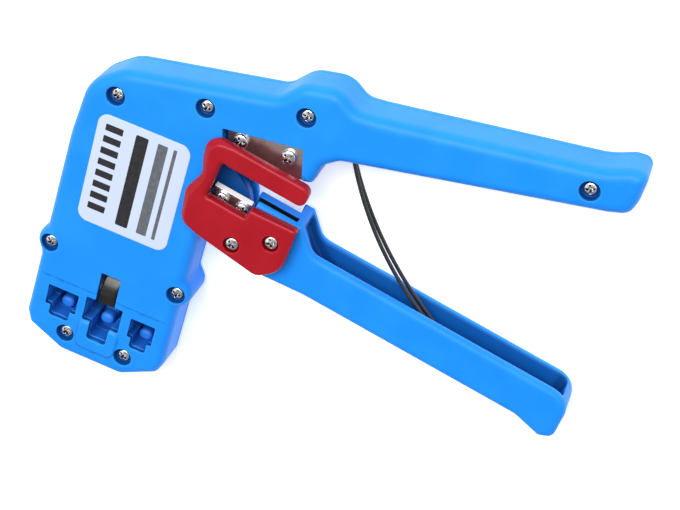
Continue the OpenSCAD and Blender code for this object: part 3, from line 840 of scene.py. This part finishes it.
for name, node, z0, z1 in (
    ("nest_outer", "plug_nest_front", NEST_Z[1], NEST_Z[2]),
    ("nest_inner", "plug_nest_rear", NEST_Z[0], NEST_Z[1]),
):
    nest = Solid((-40, -65, z0 - 1), (0, -46, z1 + 2), grid_step(0.2))
    nest.add(slab(nest_outline, z0, z1))
    if name == "nest_inner":
        for key, bottom in POCKET_FOOT:
            u = POCKETS[key][0] + HEAD_AXIS
            stop = rect(u - STOP_HALF_W, bottom, u + STOP_HALF_W, -50.4, 1.9)
            foot = rect(u - STOP_HALF_W, bottom, u + STOP_HALF_W, -53, 0.3)
            both = lambda x, y: np.minimum(stop(x, y), foot(x, y))
            nest.add(slab(both, z0, STOP_Z, top=0.9), ((u - 3, bottom, z0), (u + 3, -50, 8)), 0.2)
            pad = rect(u - PAD_HALF_W, -57.7, u + PAD_HALF_W, -53.9, 1.7)
            nest.add(slab(pad, 6, PAD_Z, top=1.3), ((u - 3, -58, 6), (u + 3, -53, 11)), 0.2)
    finish(carve(name, nest, AT_HEAD, 0.02, nest_tint), "casing", INNER_BLUE, "inner_blue_plastic", node)

# ------------------------------------------------------------------ hinged grip
grip = Solid((9, -16, 0.6), (LEVER_REACH + 2, 13, GUARD_Z[0] + 1), STEP)
_, (gx, gy, _) = grip.part(None, 0)
grip_flat = polygon(rounded(GRIP_CORNERS))(gx, gy)
grip_flat = np.maximum(grip_flat, BOSS_SWEEP_R + 0.4 - np.hypot(gx, gy))
channel_flat = polygon(rounded(CHANNEL_CORNERS))(gx, gy)
grip_2d = on_grid(grip_flat, grip)
channel_2d = on_grid(channel_flat, grip)
grip.add(slab(grip_2d, *GRIP_Z, top=1.9, bottom=1.9))
grip.cut(
    lambda x, y, z: edge(
        edge(channel_2d(x, y), z - (GRIP_Z[1] - GRIP_WALL), 0.9), GRIP_Z[0] + GRIP_WALL - z, 0.9
    ),
    k=1.1,
)
grip.cut(box((12, GRIP_TOP, GRIP_Z[0] + 1.8), (28, 20, BLOCK_Z)), ((12, 3, 1), (28, 14, 9)), 0.4)
grip.cut(box((12, GRIP_TOP, 0), (27.6, 20, GRIP_Z[0] + 2)), ((12, 3, 0), (28, 14, 4)), 0.4)
UPPER_SLOT = (UPPER_BLADE_Z[0] - 0.35, UPPER_BLADE_Z[1] + 0.3)
for sx, sy in GUARD_SCREWS:
    near = ((sx - 4, sy - 4, 12), (sx + 4, sy + 4, 19))
    grip.add(slab(disc(sx, sy, 3.4), GRIP_Z[1] - 1, GUARD_Z[0]), near, 0.3)
    grip.cut(lambda x, y, z: np.maximum(disc(sx, sy, THREAD_R)(x, y), GUARD_TIP_Z - z), near)
blade_slot = box((BLOCK[0] + 0.8, 6.4, UPPER_SLOT[0]), (28.6, 20, UPPER_SLOT[1]), 0.2)
grip.cut(blade_slot, ((15, 6, 11), (29, 14, 15)), 0.25)
slot_mouth = box((BLOCK[0] - 4, 7.4, UPPER_SLOT[0]), (BLOCK[0] + 1, 20, 20), 0.2)
grip.cut(slot_mouth, ((11, 7, 11), (17, 14, 18)), 0.25)
grip.cut(box((9, -6, 5), (29.2, 3, 8)), ((9, -6, 4), (30, 4, 9)))


def grip_tint(p, bend, shade):
    """Painted shade: the slot of the blade block is painted black inside, and the channel a deeper blue.
    """
    s, t, z = p[:, 0], p[:, 1], p[:, 2]
    # Painted shade: shade 1.5 in the slot, which the plastic paints near black.
    slot = (s > 15.5) & (s < 28.8) & (t > 6.2) & (z > 12.0) & (z < 14.45)
    # Painted shade: half as much shade again inside the channel.
    inside = (s > 31) & (z > 3.2) & (z < 14.2)
    return bend, np.where(slot, 1.5, np.minimum(np.where(inside, shade * 1.5, shade), 1.0))


grip_moulding = carve("grip_moulding", grip, AT_GRIP, 0.02, grip_tint)

tongue = Solid((-6, -7, TONGUE_Z[0] - 1), (20, 9, TONGUE_Z[1] + 1), 0.2)
tongue_poly = polygon(
    [(0, -LOBE_R), (BLOCK[0] + 2, -4.5), (BLOCK[0] + 2, 7), (3, 7), (0, LOBE_R)]
)
tongue_2d = lambda x, y: np.minimum(tongue_poly(x, y), disc(0, 0, LOBE_R)(x, y))
tongue.add(slab(tongue_2d, *TONGUE_Z, top=0.2, bottom=0.2))
tongue.cut(lambda x, y, z: disc(0, 0, 2.56)(x, y) + 0 * z)
for sx, sy in LOWER_BLADE_SCREWS:
    tongue.cut(lambda x, y, z: disc(sx, sy, THREAD_R)(x, y) + 0 * z)
grip_tongue = carve("grip_tongue", tongue, AT_GRIP, 0.02)
finish(grip_moulding, "grip", BLUE, "blue_plastic", "lower_handle")
finish(grip_tongue, "grip", BLUE, "blue_plastic")

# ------------------------------------------------------------------ guard
guard = Solid((-6.5, -11.5, GUARD_Z[0] - 0.8), (33, 29.5, GUARD_Z[1] + 0.8), grid_step(0.2))
_, (gx, gy, _) = guard.part(None, 0)
guard_flat = polygon(rounded(GUARD_CORNERS))(gx, gy)
guard_2d = on_grid(guard_flat, guard)


def guard_shape(x, y, z):
    """A slab with a broad bevel round its front, and softened edges."""
    flat_d = guard_2d(x, y)
    side = np.maximum(flat_d, GUARD_Z[0] - z)
    width = 0.55 + 1.3 * np.clip((4 - x) / 7, 0, 1)
    bevel = (flat_d + (z - GUARD_Z[1]) + width) * 0.7071
    top = smax(edge(flat_d, z - GUARD_Z[1], 0.3), bevel, 0.35)
    return np.maximum(edge(flat_d, GUARD_Z[0] - z, 0.4), np.maximum(side, top))


guard.add(guard_shape)
for sx, sy in GUARD_SCREWS:
    near = ((sx - 3, sy - 3, 16), (sx + 3, sy + 3, 22))
    guard.cut(lambda x, y, z: np.maximum(disc(sx, sy, 2.5)(x, y), GUARD_SEAT_Z - z), near, 0.3)
    guard.cut(lambda x, y, z: disc(sx, sy, THREAD_R)(x, y) + 0 * z, near)
finish(carve("guard_moulding", guard, AT_GRIP, 0.02), "grip", RED, "red_plastic", "blade_guard")


# ------------------------------------------------------------------ screws
HEAD_H = 1.6


def screw_mesh(r, turn):
    """A pan head with a tapered cross recess, and its shank."""
    s = Solid((-r - 0.4, -r - 0.4, -1.2), (r + 0.4, r + 0.4, HEAD_H + 0.3), grid_step(0.07))
    dome_r = r * 2.1
    dome_z = HEAD_H - dome_r

    def pan(x, y, z):
        flank = np.hypot(x, y) - r
        dome = np.sqrt(x * x + y * y + (z - dome_z) ** 2) - dome_r
        return np.maximum(smax(flank, dome, 0.35), -z)

    s.add(pan)
    s.add(lambda x, y, z: np.maximum(np.hypot(x, y) - 1.2, z - 0.1 + 0 * x))
    deep = 1.25
    a = math.radians(turn)
    for k in (0, 1):
        ca, sa = math.cos(a + k * math.pi / 2), math.sin(a + k * math.pi / 2)

        def wing(x, y, z):
            u, v = x * ca + y * sa, -x * sa + y * ca
            below = HEAD_H - z
            half_w = 0.33 - below * 0.06
            half_l = r * 0.72 - below * 0.42
            return np.maximum(np.maximum(np.abs(v) - half_w, np.abs(u) - half_l), (HEAD_H - deep) - z)

        s.cut(wing, k=0.09)

    def centre(x, y, z):
        cone = (np.hypot(x, y) - 0.62 + (HEAD_H - z) * 0.4) * 0.93
        return np.maximum(cone, (HEAD_H - deep - 0.15) - z)

    s.cut(centre, k=0.15)
    return s.skin(0.01)


def screws(name, places, r, seat, tip, matrix, body, node, turns):
    """All the screws of one kind, as one mesh, each with its recess turned its own way."""
    pts, tri, quad, nor, bend, deep = [], [], [], [], [], []
    count = 0
    for (x, y), turn in zip(places, turns):
        p, t, q, n, b, dark = screw_mesh(r, turn)
        t, q = outward(p, t, q)
        p = p.copy()
        low = p[:, 2] < -0.5
        p[low, 2] += tip - seat + 1.2
        p += np.array([x, y, seat])
        pts.append(p)
        nor.append(n)
        bend.append(b * 0.25)
        deep.append(dark)
        tri.append(t + count)
        quad.append(q + count)
        count += len(p)
    obj = mesh_from(
        name, np.concatenate(pts), (np.concatenate(tri), np.concatenate(quad)),
        np.concatenate(nor), np.concatenate(bend), np.concatenate(deep), matrix,
    )
    return finish(obj, body, BRIGHT, "bright_screws", node)


screws("casing_screws", [c[:2] for c in SHELL_SCREWS], 2.05, CASING_T - SEAT_DEPTH, SHELL_TIP_Z, AT_PIVOT,
       "casing", "shell_screws", (20, 55, 75, 10, 38, 64, 27, 49))
screws("fixed_blade_screws", UPPER_BLADE_SCREWS, 2.4, UPPER_BLADE_Z[1], BAY_Z - 1.4, AT_PIVOT,
       "casing", "upper_blade_screws", (12, 40))
screws("moving_blade_screws", LOWER_BLADE_SCREWS, 2.2, LOWER_BLADE_Z + BLADE_T, TONGUE_Z[0], AT_GRIP,
       "grip", "lower_blade_screws", (30, 62))
screws("guard_fixings", GUARD_SCREWS, 2.15, GUARD_SEAT_Z, GUARD_TIP_Z, AT_GRIP,
       "grip", "guard_screws", (58, 33))

# ------------------------------------------------------------------ blades
EDGE_X, EDGE_Y, ROOT_Y = (16.4, 27.2), 10.2, 13.2
FINE = grid_step(0.12)
upper = Solid((6.5, 8.5, UPPER_BLADE_Z[0] - 0.7), (32.5, 27, UPPER_BLADE_Z[1] + 0.7), FINE)
upper_poly = polygon(
    [(8, ROOT_Y), (EDGE_X[0], ROOT_Y), (EDGE_X[0], EDGE_Y), (EDGE_X[1], EDGE_Y), (EDGE_X[1], ROOT_Y),
     (31, ROOT_Y), (31, 23.6), (8, 25.4)]
)
upper.add(slab(upper_poly, *UPPER_BLADE_Z, top=0.1, bottom=0.1))
UPPER_BEVEL = math.radians(40)


def past_edge(x, y, z):
    """What the grinding of the fixed blade's cutting edge takes away."""
    out, up = math.sin(UPPER_BEVEL), math.cos(UPPER_BEVEL)
    return ((y - EDGE_Y - 0.25) * out - (z - UPPER_BLADE_Z[0]) * up) + 0 * x


upper.cut(past_edge, ((EDGE_X[0], 9.5, 12), (EDGE_X[1], 12.5, 14.5)))
finish(carve("fixed_blade", upper, AT_PIVOT, 0.01), "casing", BLADE, "blade_steel", "upper_blade")

BEVEL = math.radians(38)
LOWER_EDGE = 9.1
lower = Solid((1.4, 2.6, LOWER_BLADE_Z - 0.7), (15.8, 10.8, LOWER_BLADE_Z + BLADE_T + 0.7), FINE)
lower_2d = rect(2.4, 3.6, 14.8, LOWER_EDGE, 0.1)
lower.add(slab(lower_2d, LOWER_BLADE_Z, LOWER_BLADE_Z + BLADE_T, top=0.08, bottom=0.05))


def above_bevel(y, z):
    """Height over the ground bevel of the moving blade."""
    return (y - LOWER_EDGE) * math.cos(BEVEL) + (z - LOWER_BLADE_Z - 0.05) * math.sin(BEVEL)


lower.cut(lambda x, y, z: -above_bevel(y, z) + 0 * x)
moving_blade = carve("moving_blade", lower, AT_GRIP)
moving_blade.data.materials.append(BLADE)
moving_blade.data.materials.append(BEVEL_SHEEN_STEEL)
to_grip = AT_GRIP.inverted()
# The faces of the ground bevel take the finish with the painted reflection.
for face in moving_blade.data.polygons:
    c = to_grip @ face.center
    if abs(above_bevel(c.y, c.z)) < 0.06:
        face.material_index = 1
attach(moving_blade, "grip")
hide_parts("lower_blade")

# ------------------------------------------------------------------ cord press finger
finger = Solid((-24, -48.6, 8.6), (-15.5, -35.6, 16.4), FINE)
arch = [(v, 15.9 - (v + 44.6) ** 2 / 17, 0.2) for v in np.linspace(-37.0, -47.3, 15)]
profile = polygon(rounded([(-47.6, 12.4, 0.3), (-47.2, 12.2, 0.2), (-37.0, 12.2, 0.1)] + arch))


def finger_shape(x, y, z):
    """The curved side view, as wide as the finger, with rounded edges."""
    mid = HEAD_AXIS + POCKETS["8p"][0]
    return edge(profile(y, z), np.abs(x - mid) - FINGER_HALF_W, 0.6)


finger.add(finger_shape)
finger.add(box((HEAD_AXIS - 2, -40.4, 9.2), (HEAD_AXIS + 2.8, -37.2, 12.4), 0.2))
press_finger = carve("press_finger", finger, AT_HEAD, 0.01)
finish(press_finger, "ram_carriage", BLACK, "black_steel", "cord_press_finger")


# ------------------------------------------------------------------ return spring
WIRE_R = 0.6
POST = np.array([47.2, 29.4])


def wire_path(p, heading, radius, bend, z, coil_r, coil_steps=40, steps=60):
    """Points of one wire: a turn round the post, then one long bow into the hinged grip."""
    pts = []
    for k in range(coil_steps):
        t = math.radians(heading - 90 - 360 * (1 - k / coil_steps))
        pts.append((POST[0] + coil_r * math.cos(t), POST[1] + coil_r * math.sin(t), z))
    a = math.radians(heading)
    c = np.array(p) + radius * np.array([-math.sin(a), math.cos(a)])
    for k in range(steps + 1):
        t = a - math.pi / 2 + math.radians(bend) * k / steps
        q = c + radius * np.array([math.cos(t), math.sin(t)])
        pts.append((q[0], q[1], z))
    return np.array(pts)


def tube(name, paths, radius, matrix, sides=14):
    """Closed round tubes along paths, as one mesh."""
    pts, quads, tris = [], [], []
    count = 0
    for path in paths:
        n = len(path)
        tangent = np.gradient(path, axis=0)
        tangent /= np.linalg.norm(tangent, axis=1, keepdims=True)
        up = np.array([0, 0, 1.0])
        for i in range(n):
            side = np.cross(tangent[i], up)
            side /= np.linalg.norm(side)
            rise = np.cross(side, tangent[i])
            for k in range(sides):
                t = 2 * math.pi * k / sides
                pts.append(path[i] + radius * (side * math.cos(t) + rise * math.sin(t)))
        for i in range(n - 1):
            for k in range(sides):
                a, b = count + i * sides + k, count + i * sides + (k + 1) % sides
                quads.append((a, b, b + sides, a + sides))
        for end, way in ((0, 1), (n - 1, -1)):
            centre = len(pts)
            pts.append(path[end] - way * tangent[end] * radius * 0.5)
            for k in range(sides):
                a, b = count + end * sides + k, count + end * sides + (k + 1) % sides
                tris.append((centre, b, a) if way > 0 else (centre, a, b))
        count = len(pts)
    pts = np.array(pts)
    t, q = outward(pts, np.array(tris, np.int32), np.array(quads, np.int32))
    return mesh_from(name, pts, (t, q), matrix=matrix)


paths = []
for coil_r, z, heading, bow, bend in ((4.58, 8.6, -76.9, 120.9, 32), (3.62, 11.2, -80, 107.1, 34)):
    leave = math.radians(heading - 90)
    start = POST + coil_r * np.array([math.cos(leave), math.sin(leave)])
    paths.append(wire_path(start, heading, bow, bend, z, coil_r))
spring = tube("spring_wires", paths, WIRE_R, AT_PIVOT)
spring.data.materials.append(WIRE)


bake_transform(spring)
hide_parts("return_spring")

# ------------------------------------------------------------------ name plate
PLATE_BOX = (-34.9, -20.0, -5.3, 17.3)
LABEL_Z = CASING_T + 0.22
plate = Solid((-35.5, -20.6, CASING_T - 0.4), (-4.7, 17.9, CASING_T + 0.6), grid_step(0.14))
plate.add(slab(rect(*PLATE_BOX, 3.5), CASING_T, LABEL_Z, top=0.12))
finish(carve("label_plate", plate, AT_HEAD, 0.01), "casing", PLATE, "plate_blank", "name_plate")


def printed(name, outlines, material, t=0.02):
    """Flat printed shapes: each outline pulled up by a hair, as one mesh."""
    pts, tris, quads = [], [], []
    count = 0
    for shape in outlines:
        shape = np.array(shape, float)
        n = len(shape)
        c = shape.mean(0)
        for h in (LABEL_Z - t, LABEL_Z + t):
            pts.append([*c, h])
            pts.extend([*p, h] for p in shape)
        for k in range(n):
            a, b = count + 1 + k, count + 1 + (k + 1) % n
            top = n + 1
            tris.append((count, b, a))
            tris.append((count + top, a + top, b + top))
            quads.append((a, b, b + top, a + top))
        count = len(pts)
    faces = (np.array(tris, np.int32), np.array(quads, np.int32))
    obj = mesh_from(name, np.array(pts), faces, matrix=AT_HEAD)
    for poly in obj.data.polygons:
        poly.use_smooth = False
    return finish(obj, "casing", material, None)


def bar(x0, y0, x1, y1, r=0.3):
    """The outline of one printed bar with rounded corners."""
    return rounded([(x0, y0, r), (x1, y0, r), (x1, y1, r), (x0, y1, r)], 15)


# Generic graphics: bands and a row of eight short bars, with no lettering
row = []
for k in range(8):
    row.append(bar(-32.2, -15.2 + 3.9 * k, -26.6, -13.0 + 3.9 * k, 0.25))
printed("label_bands", [bar(-22.6, -17.0, -18.6, 14.6, 0.5)] + row, INK)
printed(
    "label_rules",
    [bar(-15.6, -17.0, -12.4, 14.6, 0.3), bar(-10.6, -17.0, -9.5, 14.6, 0.2)],
    GREY_INK,
)

# ------------------------------------------------------------------ carried-over CAD pieces
LOOKS = {
    "frame_plate_front": FRAME_STEEL,
    "frame_plate_rear": FRAME_STEEL,
    "frame_studs": FRAME_STEEL,
    "pivot_pin": BRIGHT,
    "pivot_clip": BLACK,
    "ram": FRAME_STEEL,
    "crimp_die_8p": BLACK,
    "crimp_die_6p": BLACK,
    "crimp_die_4p": BLACK,
    "spring_post": FRAME_STEEL,
    "lever_plate": FRAME_STEEL,
    "cam_pin": BRIGHT,
}
for node, material in LOOKS.items():
    obj = frame["nodes"][node]
    obj.data.materials.clear()
    obj.data.materials.append(material)

# ------------------------------------------------------------------ floor, light and camera
bpy.ops.mesh.primitive_plane_add(size=4, location=(0, 0, -0.0002))
floor = bpy.context.active_object
floor.name = "floor"
t = Nodes("pale_floor")
t.link(t.mix(t.noise(3, 2), (0.93, 0.93, 0.93), (0.95, 0.95, 0.95)), t.shader.inputs["Base Color"])
t.shader.inputs["Roughness"].default_value = 0.9
t.shader.inputs["Specular IOR Level"].default_value = 0.1
t.shader.inputs["Emission Color"].default_value = (1, 1, 1, 1)
t.shader.inputs["Emission Strength"].default_value = 0.42
floor.data.materials.append(t.mat)

world = bpy.data.worlds.new("studio")
bpy.context.scene.world = world
world.use_nodes = True
world.node_tree.nodes["Background"].inputs["Color"].default_value = (1, 1, 1, 1)
world.node_tree.nodes["Background"].inputs["Strength"].default_value = 0.32


def softbox(name, at, size, power, aim=(0, 0, 0.008)):
    """A rectangular studio light, aimed at the object."""
    light = bpy.data.lights.new(name, "AREA")
    light.shape = "RECTANGLE"
    light.size, light.size_y = size
    light.energy = power
    obj = bpy.data.objects.new(name, light)
    obj.location = at
    obj.rotation_euler = (Vector(aim) - Vector(at)).to_track_quat("-Z", "Y").to_euler()
    bpy.context.scene.collection.objects.link(obj)
    return obj


softbox("key", (-0.15, 0.7, 1.0), (1.0, 0.6), 13)
softbox("fill", (-0.8, -0.1, 0.8), (0.7, 0.9), 1.6)
softbox("side", (0.9, 0.2, 0.8), (0.6, 0.9), 1.8)
softbox("front", (0.3, 0.62, 1.1), (0.5, 0.5), 2)

TARGET = Vector((0.009078, 0.004572, 0.017))
CAMERA_REACH = 0.475
TO_CAMERA = Vector((0.21817, 0.48093, 0.84921)).normalized()
RIGHT = Vector((0.95625, 0.06855, -0.2845)).normalized()
UP = TO_CAMERA.cross(RIGHT).normalized()
camera_data = bpy.data.cameras.new("camera")
camera_data.lens = 86.64
camera_data.sensor_width = 36
camera_data.clip_start = 0.01
camera = bpy.data.objects.new("camera", camera_data)
bpy.context.scene.collection.objects.link(camera)
turn = Matrix((RIGHT, UP, TO_CAMERA)).transposed().to_4x4()
camera.matrix_world = Matrix.Translation(TARGET + TO_CAMERA * CAMERA_REACH) @ turn
bpy.context.scene.camera = camera
